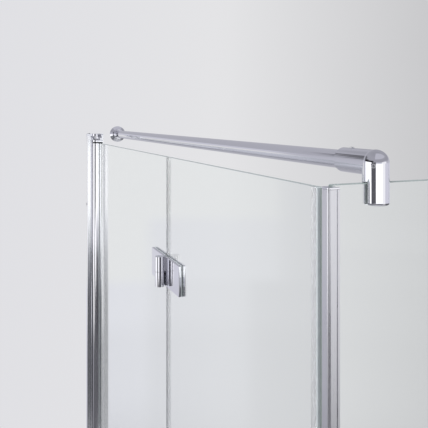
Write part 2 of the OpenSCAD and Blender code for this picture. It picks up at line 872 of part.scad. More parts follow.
// Plate lying on the glass face, with its front face towards -Y and bevelled there
module bevelled_plate(thick) {
    intersection() {
        rotate([90, 0, 0]) linear_extrude(thick) plate_outline(plate_corner_r);
        translate([0, 0, -plate_h/2]) linear_extrude(plate_h) polygon([[plate_edge, 0], [plate_reach, 0],
            [plate_reach, -thick + plate_chamfer], [plate_reach - plate_chamfer, -thick],
            [plate_edge, -thick]]);
        rotate([90, 0, 90]) linear_extrude(plate_reach) polygon([[0, -plate_h/2], [0, plate_h/2],
            [-thick + plate_chamfer, plate_h/2], [-thick, plate_h/2 - plate_chamfer],
            [-thick, -plate_h/2 + plate_chamfer], [-thick + plate_chamfer, -plate_h/2]]);
    }
}

// One leaf on the outside of the glass: plate, web and knuckle. side is -1 or 1, level -1 or 1
module hinge_leaf(side, level, pin_hole_d) {
    z0 = level > 0 ? knuckle_gap/2 : -plate_h/2;
    z1 = level > 0 ? plate_h/2 : -knuckle_gap/2;
    hole_end = level > 0 ? z1 - knuckle_end_t : z0 + knuckle_end_t;
    difference() {
        union() {
            translate([0, plate_back, 0]) towards(side) bevelled_plate(plate_t);
            bar_z_dir(0, -barrel_offset, z0, z1, barrel_d);
            translate([side > 0 ? 0 : -neck_w, -barrel_offset, z0])
                cube([neck_w, barrel_offset + plate_back - plate_t/2, z1 - z0]);
        }
        bar_z_dir(0, -barrel_offset, min(hole_end, -level), max(hole_end, -level), pin_hole_d);
        for (d = hinge_screw_ds)
            bar_y_dir(side*d, -plate_front + hinge_screw_blind, 0, 0, hinge_screw_d);
    }
}

// Mirror in X for the leaf on the wall side of the fold
module towards(side) {
    if (side < 0) mirror([1, 0, 0]) children();
    else children();
}

hinge_head_y = plate_front - hinge_head_t - hinge_head_sink;

module hinge_back_plate(side) {
    difference() {
        mirror([0, 1, 0]) translate([0, plate_back, 0]) towards(side) bevelled_plate(plate_t);
        for (d = hinge_screw_ds) {
            bar_y_dir(side*d, 0, plate_front + 1, 0, hinge_screw_d + 2*slip_gap);
            bar_y_dir(side*d, hinge_head_y, plate_front + 1, 0, hinge_head_d + 2*slip_gap);
        }
    }
}

module hinge_gasket(side) {
    for (s = [-1, 1]) difference() {
        translate([0, s > 0 ? -plate_back : -glass_t/2, 0]) towards(side)
            rotate([90, 0, 0]) linear_extrude(hinge_gasket_t) plate_outline(plate_corner_r);
        for (d = hinge_screw_ds) bar_y_dir(side*d, -plate_front, plate_front, 0, glass_hole_d);
    }
}

module hinge_screw(x) {
    difference() {
        union() {
            bar_y_dir(x, -plate_front + hinge_screw_blind, hinge_head_y + eps, 0, hinge_screw_d);
            bar_y_dir(x, hinge_head_y, hinge_head_y + hinge_head_t, 0, hinge_head_d);
        }
        bar_y_dir(x, hinge_head_y - hinge_key_past, plate_front + 1, 0, hinge_key_d);
    }
}

module at_hinges() {
    for (z = hinge_zs) translate([fold_x, door_y, z]) children();
}

module inner_hinge_plates() {
    color("silver") at_hinges() hinge_leaf(-1, -1, hinge_pin_d);
}

module outer_hinge_plates() {
    color("silver") at_hinges() hinge_leaf(1, 1, hinge_pin_d + 2*pin_play);
}

module inner_hinge_back_plates() {
    color("silver") at_hinges() hinge_back_plate(-1);
}

module outer_hinge_back_plates() {
    color("silver") at_hinges() hinge_back_plate(1);
}

module inner_hinge_gaskets() {
    color("dimgray") at_hinges() hinge_gasket(-1);
}

module outer_hinge_gaskets() {
    color("dimgray") at_hinges() hinge_gasket(1);
}

module inner_hinge_screws() {
    color("silver") at_hinges() for (d = hinge_screw_ds) hinge_screw(-d);
}

module outer_hinge_screws() {
    color("silver") at_hinges() for (d = hinge_screw_ds) hinge_screw(d);
}

module hinge_pins() {
    reach = plate_h/2 - knuckle_end_t;
    color("silver") at_hinges()
        bar_z_dir(0, -barrel_offset, -reach, reach - body_gap, hinge_pin_d);
}

// Seals

bottom_seal_up = 12;
bottom_seal_z = strip_h + 1;
seal_web_z = bottom_seal_z + 3;
drip_lip = 3;
drip_lip_w = 1.4;

// Two legs on the glass, a web under its edge and a drip lip
module bottom_seal_section() {
    w = glass_t/2 + seal_t;
    difference() {
        area(-w, seal_web_z, w, door_lift + bottom_seal_up);
        area(-glass_t/2, door_lift, glass_t/2, door_lift + bottom_seal_up + 1);
    }
    polygon([[-w, seal_web_z + seal_t], [-w - drip_lip, bottom_seal_z],
        [-w - drip_lip + drip_lip_w, bottom_seal_z], [-w + 2*seal_t, seal_web_z + seal_t/2]]);
}

module inner_bottom_seal() {
    color("gainsboro") along_x(pivot_x + jaw_len + 3, inner_edge_x - 1) bottom_seal_section();
}

module outer_bottom_seal() {
    color("gainsboro") along_x(outer_edge_x + seal_leg + 1, free_x - seal_leg - 1)
        bottom_seal_section();
}

// U-shaped edge seals: web past the glass edge, legs back along both faces
module edge_seal_section(edge, out, side) {
    w = glass_t/2 + seal_t;
    x_out = edge + side*out;
    x_leg = edge - side*seal_leg;
    difference() {
        area(min(x_out, x_leg), door_y - w, max(x_out, x_leg), door_y + w);
        area(min(edge, x_leg - side), door_y - glass_t/2, max(edge, x_leg - side), door_y + glass_t/2);
    }
}

fold_seal_out = pane_gap - body_gap;

module fold_seal() {
    free_h = plate_h/2 + 1;
    spans = [[door_lift, lower_hinge_z - free_h], [lower_hinge_z + free_h, upper_hinge_z - free_h],
        [upper_hinge_z + free_h, door_top]];
    color("gainsboro") for (s = spans)
        upright(s[0], s[1]) edge_seal_section(outer_edge_x, fold_seal_out, -1);
}

module free_edge_seal() {
    color("gainsboro") upright(door_lift, door_top)
        edge_seal_section(free_x, free_seal_out, 1);
}

// Knob pair through the second pane

knob_x = free_x - knob_inset;
knob_neck_d = 14;
knob_neck_len = 8;
knob_flare = 3;
knob_washer_t = 1;
knob_screw_d = 5;
knob_front_t = 8;

// Half section: neck, flare and a head with a rounded rim, bored for the screw
module knob_section() {
    r = knob_d/2;
    difference() {
        union() {
            polygon([[0, knob_washer_t], [knob_neck_d/2, knob_washer_t], [knob_neck_d/2, knob_neck_len],
                [r, knob_neck_len + knob_flare], [r, knob_reach - knob_rim_r],
                [r - knob_rim_r, knob_reach], [0, knob_reach]]);
            translate([r - knob_rim_r, knob_reach - knob_rim_r]) circle(r = knob_rim_r);
        }
        area(0, 0, knob_screw_d/2, knob_reach - knob_front_t);
    }
}

module knob_shape() {
    rotate([90, 0, 0]) rotate_extrude() knob_section();
}

module outside_knob() {
    color("silver") translate([knob_x, door_y - glass_t/2, knob_z]) knob_shape();
}

module inside_knob() {
    color("silver") translate([knob_x, door_y + glass_t/2, knob_z]) mirror([0, 1, 0]) knob_shape();
}

module knob_washers() {
    color("dimgray") for (y = [door_y - glass_t/2 - knob_washer_t, door_y + glass_t/2]) difference() {
        bar_y_dir(knob_x, y, y + knob_washer_t, knob_z, knob_neck_d + 4);
        bar_y_dir(knob_x, y - 1, y + knob_washer_t + 1, knob_z, knob_screw_d);
    }
}

module knob_screw() {
    reach = glass_t/2 + knob_reach - knob_front_t - 2;
    color("silver") bar_y_dir(knob_x, door_y - reach, door_y + reach, knob_z, knob_screw_d);
}

wall_channel();
wall_profile();
profile_lock_screws();
top_pivot_bracket();
top_bracket_screws();
top_pivot_pin();
pivot_lock_screw();
bottom_pivot_bracket();
bottom_bracket_screws();
bottom_pivot_pin();
thrust_washer();
bar_rosette();
bar_rosette_grub_screw();
stabiliser_bar();
glass_clamp();
clamp_pads();
clamp_grub_screws();
side_glass();
side_edge_profile();
side_edge_gaskets();
side_edge_caps();
magnet_strip();
back_channel();
back_glass_profile();
back_gaskets();
back_lock_screws();
back_profile_cap();
base_rail();
base_rail_gaskets();
setting_blocks();
water_strip();
water_strip_end_caps();
pivot_column();
column_top_cap();
column_bottom_cap();
top_bush();
bottom_bush();
column_gaskets();
inner_glass();
inner_hinge_plates();
inner_hinge_back_plates();
inner_hinge_gaskets();
inner_hinge_screws();
hinge_pins();
inner_bottom_seal();
outer_glass();
outer_hinge_plates();
outer_hinge_back_plates();
outer_hinge_gaskets();
outer_hinge_screws();
fold_seal();
free_edge_seal();
outer_bottom_seal();
outside_knob();
inside_knob();
knob_washers();
knob_screw();
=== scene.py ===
import json
import math

import bmesh
import bpy
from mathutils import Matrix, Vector


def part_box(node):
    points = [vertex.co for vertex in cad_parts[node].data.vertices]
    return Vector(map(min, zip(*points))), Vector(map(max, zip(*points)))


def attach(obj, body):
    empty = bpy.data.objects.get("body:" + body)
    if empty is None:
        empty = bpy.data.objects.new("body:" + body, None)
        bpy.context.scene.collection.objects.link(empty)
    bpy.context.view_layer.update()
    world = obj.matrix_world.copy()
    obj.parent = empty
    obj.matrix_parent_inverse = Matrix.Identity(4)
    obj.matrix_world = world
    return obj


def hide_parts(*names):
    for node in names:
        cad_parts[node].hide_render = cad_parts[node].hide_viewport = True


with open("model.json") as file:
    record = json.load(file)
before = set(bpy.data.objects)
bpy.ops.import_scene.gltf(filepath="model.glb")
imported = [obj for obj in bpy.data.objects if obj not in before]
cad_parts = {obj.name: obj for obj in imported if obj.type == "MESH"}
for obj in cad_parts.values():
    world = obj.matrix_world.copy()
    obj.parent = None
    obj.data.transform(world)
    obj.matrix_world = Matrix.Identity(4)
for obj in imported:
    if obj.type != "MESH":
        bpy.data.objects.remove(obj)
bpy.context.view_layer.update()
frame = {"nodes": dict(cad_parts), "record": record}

# Places taken from the fixed model, in metres
side_low, side_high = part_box("side_glass")
door_low, door_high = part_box("inner_glass")
side_x = (side_low.x + side_high.x) / 2
door_y = (door_low.y + door_high.y) / 2
glass_top = side_high.z
body_of = {node: body for body, nodes in frame["record"]["behaviour"]["bodies"].items() for node in nodes}

# Camera: level, outside the corner of the enclosure and a little above the glass
IMAGE_PIXELS = 428
HORIZON_ROW = 117.6
FOCAL_PIXELS = 586
SENSOR_MM = 36
CAMERA_FROM_CORNER = Vector((0.426, -0.284, 0.0573))
CAMERA_TURN_DEGREES = 67.5
LEVEL_DEGREES = 90
NEAREST_SHOWN = 0.05


def make_camera():
    """The photograph's viewpoint, measured from the top corner where door and side panel meet"""
    data = bpy.data.cameras.new("camera")
    data.sensor_width = SENSOR_MM
    data.lens = FOCAL_PIXELS / IMAGE_PIXELS * SENSOR_MM
    data.shift_y = (HORIZON_ROW - IMAGE_PIXELS / 2) / IMAGE_PIXELS
    data.clip_start = NEAREST_SHOWN
    camera = bpy.data.objects.new("camera", data)
    camera.location = Vector((side_x, door_y, glass_top)) + CAMERA_FROM_CORNER
    camera.rotation_euler = (math.radians(LEVEL_DEGREES), 0, math.radians(CAMERA_TURN_DEGREES))
    bpy.context.scene.collection.objects.link(camera)
    bpy.context.scene.camera = camera


make_camera()


# Colours and shader nodes

def linear(hex_colour):
    """A colour written as sRGB hex, as linear red, green, blue and alpha"""
    shares = [int(hex_colour[i:i + 2], 16) / 255 for i in (0, 2, 4)]
    return tuple(s / 12.92 if s <= 0.04045 else ((s + 0.055) / 1.055) ** 2.4 for s in shares) + (1.0,)


def add(tree, kind, settings=None, inputs=None, stops=None):
    """Adds one shader node with its settings, its inputs and a colour ramp's stops. An input goes by name, or
    by number where several share a name, and is given a value, a node or a node's output"""
    node = tree.nodes.new("ShaderNode" + kind)
    for name, value in (settings or {}).items():
        setattr(node, name, value)
    if stops:
        elements = node.color_ramp.elements
        while len(elements) < len(stops):
            elements.new(0.5)
        for element, (place, colour) in zip(elements, stops):
            element.position = place
            element.color = colour
    for name, value in (inputs or {}).items():
        if isinstance(value, bpy.types.Node):
            value = value.outputs[0]
        if isinstance(value, bpy.types.NodeSocket):
            tree.links.new(value, node.inputs[name])
        else:
            node.inputs[name].default_value = value
    return node


def new_material(name):
    """A material with an empty node tree"""
    made = bpy.data.materials.new(name)
    made.use_nodes = True
    made.node_tree.nodes.clear()
    return made, made.node_tree


def per_metre(*sizes_mm):
    """Pattern scale for a feature of this size along each axis"""
    return tuple(1000 / size for size in sizes_mm)


# Materials

# The middle of Blender's noise, where nearly all its values lie
NOISE_LOW = 0.3
NOISE_HIGH = 0.7


def polished_chrome():
    """Chrome plate on brass, buffed: a cool sharp mirror, faintly wavy and hazed by the finest wipe marks"""
    made, tree = new_material("polished_chrome")
    place = add(tree, "TexCoord").outputs["Object"]
    wipe_place = add(tree, "Mapping", inputs={"Vector": place, "Scale": per_metre(9, 9, 9)})
    wipes = add(tree, "TexNoise", inputs={"Vector": wipe_place, "Scale": 1.0, "Detail": 4.0})
    haze = add(tree, "MapRange", inputs={"Value": wipes, "From Min": NOISE_LOW, "From Max": NOISE_HIGH,
                                         "To Min": 0.035, "To Max": 0.075})
    buff_place = add(tree, "Mapping", inputs={"Vector": place, "Scale": per_metre(26, 26, 26)})
    buffing = add(tree, "TexNoise", inputs={"Vector": buff_place, "Scale": 1.0, "Detail": 0.0})
    waves = add(tree, "Bump", inputs={"Height": buffing, "Distance": 0.00002, "Strength": 1.0})
    shader = add(tree, "BsdfPrincipled", inputs={
        "Base Color": linear("E4E4EA"), "Metallic": 1.0, "Roughness": haze, "Normal": waves})
    add(tree, "OutputMaterial", inputs={"Surface": shader})
    return made


# Lines that the die leaves in an extrusion
LINE_MM = 1.6
LINE_LENGTH_MM = 4000


def bright_aluminium(name, line_mm):
    """Bright dipped and anodised extrusion: a soft mirror, with faint die lines along its length, whose size
    along each axis is line_mm"""
    made, tree = new_material(name)
    place = add(tree, "TexCoord").outputs["Object"]
    line_place = add(tree, "Mapping", inputs={"Vector": place, "Scale": per_metre(*line_mm)})
    lines = add(tree, "TexNoise", inputs={"Vector": line_place, "Scale": 1.0, "Detail": 1.0})
    tone = add(tree, "ValToRGB", inputs={"Fac": lines},
               stops=[(NOISE_LOW, linear("EAEAEE")), (NOISE_HIGH, linear("F0F0F4"))])
    sheen = add(tree, "MapRange", inputs={"Value": lines, "From Min": NOISE_LOW, "From Max": NOISE_HIGH,
                                          "To Min": 0.08, "To Max": 0.13})
    drawn = add(tree, "Bump", inputs={"Height": lines, "Distance": 0.000001, "Strength": 1.0})
    shader = add(tree, "BsdfPrincipled", inputs={
        "Base Color": tone, "Metallic": 1.0, "Roughness": sheen, "Normal": drawn})
    add(tree, "OutputMaterial", inputs={"Surface": shader})
    return made


def satin_aluminium():
    """Etched and anodised extrusion: a lavender-grey satin that blurs the room into soft bands"""
    made, tree = new_material("satin_anodised_aluminium")
    place = add(tree, "TexCoord").outputs["Object"]
    etch_place = add(tree, "Mapping", inputs={"Vector": place, "Scale": per_metre(1.5, 1.5, 60)})
    etch = add(tree, "TexNoise", inputs={"Vector": etch_place, "Scale": 1.0, "Detail": 3.0})
    tone = add(tree, "ValToRGB", inputs={"Fac": etch},
               stops=[(NOISE_LOW, linear("D6D6DC")), (NOISE_HIGH, linear("DEDEE3"))])
    satin = add(tree, "MapRange", inputs={"Value": etch, "From Min": NOISE_LOW, "From Max": NOISE_HIGH,
                                          "To Min": 0.26, "To Max": 0.32})
    grit = add(tree, "Bump", inputs={"Height": etch, "Distance": 0.000004, "Strength": 1.0})
    shader = add(tree, "BsdfPrincipled", inputs={
        "Base Color": tone, "Metallic": 1.0, "Roughness": satin, "Normal": grit})
    add(tree, "OutputMaterial", inputs={"Surface": shader})
    return made


def turned_steel():
    """Stainless steel turned on a lathe: a grey mirror broken by fine tool marks"""
    made, tree = new_material("turned_steel")
    place = add(tree, "TexCoord").outputs["Object"]
    mark_place = add(tree, "Mapping", inputs={"Vector": place, "Scale": per_metre(0.5, 0.5, 0.5)})
    marks = add(tree, "TexNoise", inputs={"Vector": mark_place, "Scale": 1.0, "Detail": 2.0})
    worn = add(tree, "MapRange", inputs={"Value": marks, "From Min": NOISE_LOW, "From Max": NOISE_HIGH,
                                         "To Min": 0.22, "To Max": 0.34})
    cut = add(tree, "Bump", inputs={"Height": marks, "Distance": 0.00001, "Strength": 1.0})
    shader = add(tree, "BsdfPrincipled", inputs={
        "Base Color": linear("B6B7BC"), "Metallic": 1.0, "Roughness": worn, "Normal": cut})
    add(tree, "OutputMaterial", inputs={"Surface": shader})
    return made


GLASS_IOR = 1.52
GLASS_TINT = "B0E4D4"
GLASS_DENSITY = 5.0


def toughened_glass():
    """Clear toughened float glass: greenish through its depth, with the long roller waves of the furnace"""
    made, tree = new_material("toughened_glass")
    place = add(tree, "TexCoord").outputs["Object"]
    wave_place = add(tree, "Mapping", inputs={"Vector": place, "Scale": per_metre(900, 900, 260)})
    waves = add(tree, "TexNoise", inputs={"Vector": wave_place, "Scale": 1.0, "Detail": 0.0})
    rollers = add(tree, "Bump", inputs={"Height": waves, "Distance": 0.00002, "Strength": 1.0})
    depth = add(tree, "VolumeAbsorption", inputs={"Color": linear(GLASS_TINT), "Density": GLASS_DENSITY})
    shader = add(tree, "BsdfPrincipled", inputs={
        "Base Color": linear("FEFFFF"), "Roughness": 0.0, "IOR": GLASS_IOR, "Transmission Weight": 1.0,
        "Normal": rollers})
    add(tree, "OutputMaterial", inputs={"Surface": shader, "Volume": depth})
    return made


def ground_glass(name, colour, clearness):
    """Ground and part-polished edge of a pane: satin, so that it gathers the room into a thin grey line"""
    made, tree = new_material(name)
    place = add(tree, "TexCoord").outputs["Object"]
    grit_place = add(tree, "Mapping", inputs={"Vector": place, "Scale": per_metre(0.4, 0.4, 0.4)})
    grit = add(tree, "TexNoise", inputs={"Vector": grit_place, "Scale": 1.0, "Detail": 2.0})
    satin = add(tree, "MapRange", inputs={"Value": grit, "From Min": NOISE_LOW, "From Max": NOISE_HIGH,
                                          "To Min": 0.18, "To Max": 0.36})
    scratched = add(tree, "Bump", inputs={"Height": grit, "Distance": 0.000006, "Strength": 1.0})
    depth = add(tree, "VolumeAbsorption", inputs={"Color": linear(GLASS_TINT), "Density": GLASS_DENSITY})
    shader = add(tree, "BsdfPrincipled", inputs={
        "Base Color": linear(colour), "Roughness": satin, "IOR": GLASS_IOR, "Transmission Weight": clearness,
        "Normal": scratched})
    add(tree, "OutputMaterial", inputs={"Surface": shader, "Volume": depth})
    return made


PVC_IOR = 1.53


def clear_pvc():
    """Extruded clear PVC: nearly as clear as the glass, with drawn lines that smear what is behind it"""
    made, tree = new_material("clear_pvc")
    place = add(tree, "TexCoord").outputs["Object"]
    line_place = add(tree, "Mapping", inputs={"Vector": place, "Scale": per_metre(1.4, 1.4, LINE_LENGTH_MM)})
    lines = add(tree, "TexNoise", inputs={"Vector": line_place, "Scale": 1.0, "Detail": 2.0})
    smear = add(tree, "MapRange", inputs={"Value": lines, "From Min": NOISE_LOW, "From Max": NOISE_HIGH,
                                          "To Min": 0.0, "To Max": 0.02})
    drawn = add(tree, "Bump", inputs={"Height": lines, "Distance": 0.0000005, "Strength": 1.0})
    shader = add(tree, "BsdfPrincipled", inputs={
        "Base Color": linear("FBFBFD"), "Roughness": smear, "IOR": PVC_IOR, "Transmission Weight": 1.0,
        "Alpha": 0.45, "Normal": drawn})
    add(tree, "OutputMaterial", inputs={"Surface": shader})
    return made


def magnetic_rubber():
    """Magnetic rubber in a milky PVC skin: grey-green, soft and slightly see-through at its rim"""
    made, tree = new_material("magnetic_rubber")
    place = add(tree, "TexCoord").outputs["Object"]
    skin_place = add(tree, "Mapping", inputs={"Vector": place, "Scale": per_metre(1.0, 1.0, 90)})
    skin = add(tree, "TexNoise", inputs={"Vector": skin_place, "Scale": 1.0, "Detail": 2.0})
    tone = add(tree, "ValToRGB", inputs={"Fac": skin},
               stops=[(NOISE_LOW, linear("8A9692")), (NOISE_HIGH, linear("98A4A0"))])
    milky = add(tree, "MapRange", inputs={"Value": skin, "From Min": NOISE_LOW, "From Max": NOISE_HIGH,
                                          "To Min": 0.24, "To Max": 0.34})
    drawn = add(tree, "Bump", inputs={"Height": skin, "Distance": 0.00001, "Strength": 1.0})
    shader = add(tree, "BsdfPrincipled", inputs={
        "Base Color": tone, "Roughness": milky, "IOR": PVC_IOR, "Transmission Weight": 0.25, "Normal": drawn})
    add(tree, "OutputMaterial", inputs={"Surface": shader})
    return made


def milky_silicone():
    """Soft translucent silicone: pale blue-grey, glowing a little where light comes through it"""
    made, tree = new_material("milky_silicone")
    place = add(tree, "TexCoord").outputs["Object"]
    cloud_place = add(tree, "Mapping", inputs={"Vector": place, "Scale": per_metre(6, 6, 6)})
    clouds = add(tree, "TexNoise", inputs={"Vector": cloud_place, "Scale": 1.0, "Detail": 2.0})
    tone = add(tree, "ValToRGB", inputs={"Fac": clouds},
               stops=[(NOISE_LOW, linear("D6DEE2")), (NOISE_HIGH, linear("E2E9EC"))])
    skin = add(tree, "MapRange", inputs={"Value": clouds, "From Min": NOISE_LOW, "From Max": NOISE_HIGH,
                                         "To Min": 0.3, "To Max": 0.4})
    shader = add(tree, "BsdfPrincipled", inputs={
        "Base Color": tone, "Roughness": skin, "IOR": 1.41, "Transmission Weight": 0.15})
    add(tree, "OutputMaterial", inputs={"Surface": shader})
    return made


def plated_screw():
    """Zinc-plated socket screw: a dull pale metal that spreads the light of the panels beside it"""
    made, tree = new_material("zinc_plated_steel")
    place = add(tree, "TexCoord").outputs["Object"]
    grain_place = add(tree, "Mapping", inputs={"Vector": place, "Scale": per_metre(0.4, 0.4, 0.4)})
    grain = add(tree, "TexNoise", inputs={"Vector": grain_place, "Scale": 1.0, "Detail": 3.0})
    dull = add(tree, "MapRange", inputs={"Value": grain, "From Min": NOISE_LOW, "From Max": NOISE_HIGH,
                                         "To Min": 0.4, "To Max": 0.52})
    etched = add(tree, "Bump", inputs={"Height": grain, "Distance": 0.000008, "Strength": 1.0})
    shader = add(tree, "BsdfPrincipled", inputs={
        "Base Color": linear("D8D9DC"), "Metallic": 1.0, "Roughness": dull, "Normal": etched})
    add(tree, "OutputMaterial", inputs={"Surface": shader})
    return made


def gasket_rubber():
    """Extruded grey gasket rubber: matt, with a soft sheen on its skin"""
    made, tree = new_material("gasket_rubber")
    place = add(tree, "TexCoord").outputs["Object"]
    skin_place = add(tree, "Mapping", inputs={"Vector": place, "Scale": per_metre(1.2, 1.2, 40)})
    skin = add(tree, "TexNoise", inputs={"Vector": skin_place, "Scale": 1.0, "Detail": 3.0})
    tone = add(tree, "ValToRGB", inputs={"Fac": skin},
               stops=[(NOISE_LOW, linear("6E7174")), (NOISE_HIGH, linear("84878A"))])
    dull = add(tree, "MapRange", inputs={"Value": skin, "From Min": NOISE_LOW, "From Max": NOISE_HIGH,
                                         "To Min": 0.5, "To Max": 0.66})
    creases = add(tree, "Bump", inputs={"Height": skin, "Distance": 0.00003, "Strength": 1.0})
    shader = add(tree, "BsdfPrincipled", inputs={"Base Color": tone, "Roughness": dull, "Normal": creases})
    add(tree, "OutputMaterial", inputs={"Surface": shader})
    return made


def moulded_acetal(name, dark, light):
    """Injection-moulded acetal: even colour, faint spark-eroded grain, satin gloss"""
    made, tree = new_material(name)
    place = add(tree, "TexCoord").outputs["Object"]
    grain_place = add(tree, "Mapping", inputs={"Vector": place, "Scale": per_metre(0.6, 0.6, 0.6)})
    grain = add(tree, "TexNoise", inputs={"Vector": grain_place, "Scale": 1.0, "Detail": 3.0})
    tone = add(tree, "ValToRGB", inputs={"Fac": grain},
               stops=[(NOISE_LOW, linear(dark)), (NOISE_HIGH, linear(light))])
    gloss = add(tree, "MapRange", inputs={"Value": grain, "From Min": NOISE_LOW, "From Max": NOISE_HIGH,
                                          "To Min": 0.34, "To Max": 0.46})
    eroded = add(tree, "Bump", inputs={"Height": grain, "Distance": 0.000015, "Strength": 1.0})
    shader = add(tree, "BsdfPrincipled", inputs={
        "Base Color": tone, "Roughness": gloss, "IOR": 1.48, "Normal": eroded})
    add(tree, "OutputMaterial", inputs={"Surface": shader})
    return made


chrome = polished_chrome()
aluminium_upright = bright_aluminium("bright_aluminium_upright", (LINE_MM, LINE_MM, LINE_LENGTH_MM))
aluminium_along_x = bright_aluminium("bright_aluminium_along_x", (LINE_LENGTH_MM, LINE_MM, LINE_MM))
aluminium_along_y = bright_aluminium("bright_aluminium_along_y", (LINE_MM, LINE_LENGTH_MM, LINE_MM))
satin = satin_aluminium()
steel = turned_steel()
glass = toughened_glass()
glass_edge = ground_glass("ground_glass_edge", "B0BCBB", 0.45)
# The fold's edge is the same ground edge in a paler, less clear copy: painted light where the fold shows pale
fold_edge_painted_pale = ground_glass("ground_glass_edge_painted_pale", "E6EDEC", 0.2)
pvc = clear_pvc()
silicone = milky_silicone()
zinc = plated_screw()
rubber = gasket_rubber()
magnet = magnetic_rubber()
black_acetal = moulded_acetal("black_moulded_acetal", "101113", "18191B")
grey_acetal = moulded_acetal("grey_moulded_acetal", "6B6E72", "7C7F83")

# Fixed-model nodes that keep their own mesh, by finish
FINISHES = [
    (chrome, ["stabiliser_bar"]),
    (aluminium_upright, ["wall_channel", "wall_profile", "pivot_column", "back_channel",
                         "back_glass_profile"]),
    (satin, ["side_edge_profile"]),
    (aluminium_along_y, ["base_rail"]),
    (aluminium_along_x, ["water_strip"]),
    (steel, ["profile_lock_screws", "top_bracket_screws", "top_pivot_pin", "bottom_bracket_screws",
             "bottom_pivot_pin", "bar_rosette_grub_screw", "back_lock_screws",
             "inner_hinge_screws", "outer_hinge_screws", "hinge_pins", "knob_screw"]),
    (zinc, ["clamp_grub_screws"]),
    (pvc, ["fold_seal", "inner_bottom_seal", "outer_bottom_seal"]),
    (silicone, ["clamp_pads", "column_gaskets", "inner_hinge_gaskets", "outer_hinge_gaskets"]),
    (rubber, ["side_edge_gaskets", "back_gaskets", "base_rail_gaskets", "knob_washers"]),
    (black_acetal, ["top_bush", "bottom_bush", "thrust_washer", "setting_blocks"]),
    (magnet, ["magnet_strip"]),
    (grey_acetal, ["water_strip_end_caps"]),
]


def paint(obj, material):
    """Gives every face of an object one material"""
    if not obj.material_slots:
        obj.data.materials.append(material)
    for held in obj.material_slots:
        held.material = material


for finish, names in FINISHES:
    for name in names:
        paint(frame["nodes"][name], finish)


# Pieces made from the fixed model's shapes, with their edges broken as the real ones are

WELD_MM = 0.001
# Faces that meet at less than the first angle are one flat face, and at more than the second a sharp edge
COPLANAR_DEGREES = 0.4
SHARP_DEGREES = 32
# Width of the broken edge of each plated piece, in millimetres
PLATED_EDGES = {
    "glass_clamp": 0.35, "bar_rosette": 0.3, "top_pivot_bracket": 0.5, "bottom_pivot_bracket": 0.5,
    "column_top_cap": 0.6, "column_bottom_cap": 0.5, "pivot_lock_screw": 0.3,
    "inner_hinge_plates": 0.6, "outer_hinge_plates": 0.6,
    "inner_hinge_back_plates": 0.3, "outer_hinge_back_plates": 0.3,
    "side_edge_caps": 0.4, "back_profile_cap": 0.4, "outside_knob": 0.4, "inside_knob": 0.4,
}
# Width of the small flat ground along each edge of a pane
ARRIS_MM = 0.7
# The panes are drawn this much thinner on each face, so that seals and gaskets lie clear of them
PANE_SKIN_MM = 0.02
X_AXIS = 0
Y_AXIS = 1
# The share of a face's normal along an axis, from which the face lies square to it or looks along it
SQUARE_FROM = 0.99
LOOKS_FROM = 0.5


def welded_shape(node):
    """The node's solid as one closed mesh with undivided flat faces"""
    shape = bmesh.new()
    shape.from_mesh(frame["nodes"][node].data)
    bmesh.ops.remove_doubles(shape, verts=shape.verts, dist=WELD_MM / 1000)
    bmesh.ops.dissolve_limit(shape, angle_limit=math.radians(COPLANAR_DEGREES),
                             verts=shape.verts, edges=shape.edges)
    return shape


def break_edges(shape, width_mm, segments):
    """Bevels every sharp edge: one segment leaves a flat, and more of them a round"""
    sharp = [edge for edge in shape.edges
             if edge.is_manifold and edge.calc_face_angle(0) > math.radians(SHARP_DEGREES)]
    bmesh.ops.bevel(shape, geom=sharp, offset=width_mm / 1000, offset_type="OFFSET", segments=segments,
                    profile=0.5, affect="EDGES", clamp_overlap=True)


def piece_from(shape, node, materials):
    """Turns a worked shape into a piece that stands for the node and moves as it does"""
    mesh = bpy.data.meshes.new(node + "_finished")
    shape.to_mesh(mesh)
    shape.free()
    for material in materials:
        mesh.materials.append(material)
    piece = bpy.data.objects.new(node + "_finished", mesh)
    bpy.context.scene.collection.objects.link(piece)
    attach(piece, body_of[node])
    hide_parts(node)
    return piece


def plated_piece(node, edge_mm):
    """A chromed part, whose rounded edges carry thin highlights"""
    shape = welded_shape(node)
    break_edges(shape, edge_mm, segments=2)
    piece = piece_from(shape, node, [chrome])
    for face in piece.data.polygons:
        face.use_smooth = True
    piece.data.set_sharp_from_angle(angle=math.radians(SHARP_DEGREES))
    even = piece.modifiers.new("flat_faces_stay_flat", "WEIGHTED_NORMAL")
    even.keep_sharp = True


def glass_pane(node, across, fold_side=0):
    """A pane with ground edges and arrises; across is the axis through its thickness, and fold_side is the
    way along X to the edge at the fold, which gets a paler copy of the ground edge as painted light"""
    shape = welded_shape(node)
    middle = sum(vertex.co[across] for vertex in shape.verts) / len(shape.verts)
    for vertex in shape.verts:
        inward = PANE_SKIN_MM / 1000
        vertex.co[across] += inward if vertex.co[across] < middle else -inward
    break_edges(shape, ARRIS_MM, segments=1)
    shape.normal_update()
    finishes = [glass, glass_edge, fold_edge_painted_pale]
    for face in shape.faces:
        face.material_index = finishes.index(glass if abs(face.normal[across]) > SQUARE_FROM else glass_edge)
        if face.normal.x * fold_side > LOOKS_FROM:
            face.material_index = finishes.index(fold_edge_painted_pale)
    piece_from(shape, node, finishes)


def free_edge_seal():
    """Clear legs on the glass with a milky soft lip past its edge, drawn as one strip"""
    pane_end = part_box("outer_glass")[1].x
    shape = welded_shape("free_edge_seal")
    finishes = [pvc, silicone]
    bmesh.ops.bisect_plane(shape, geom=shape.verts[:] + shape.edges[:] + shape.faces[:],
                           plane_co=(pane_end, 0, 0), plane_no=(1, 0, 0), dist=WELD_MM / 1000)
    for face in shape.faces:
        past_pane = face.calc_center_median().x > pane_end
        face.material_index = finishes.index(silicone if past_pane else pvc)
    piece_from(shape, "free_edge_seal", finishes)


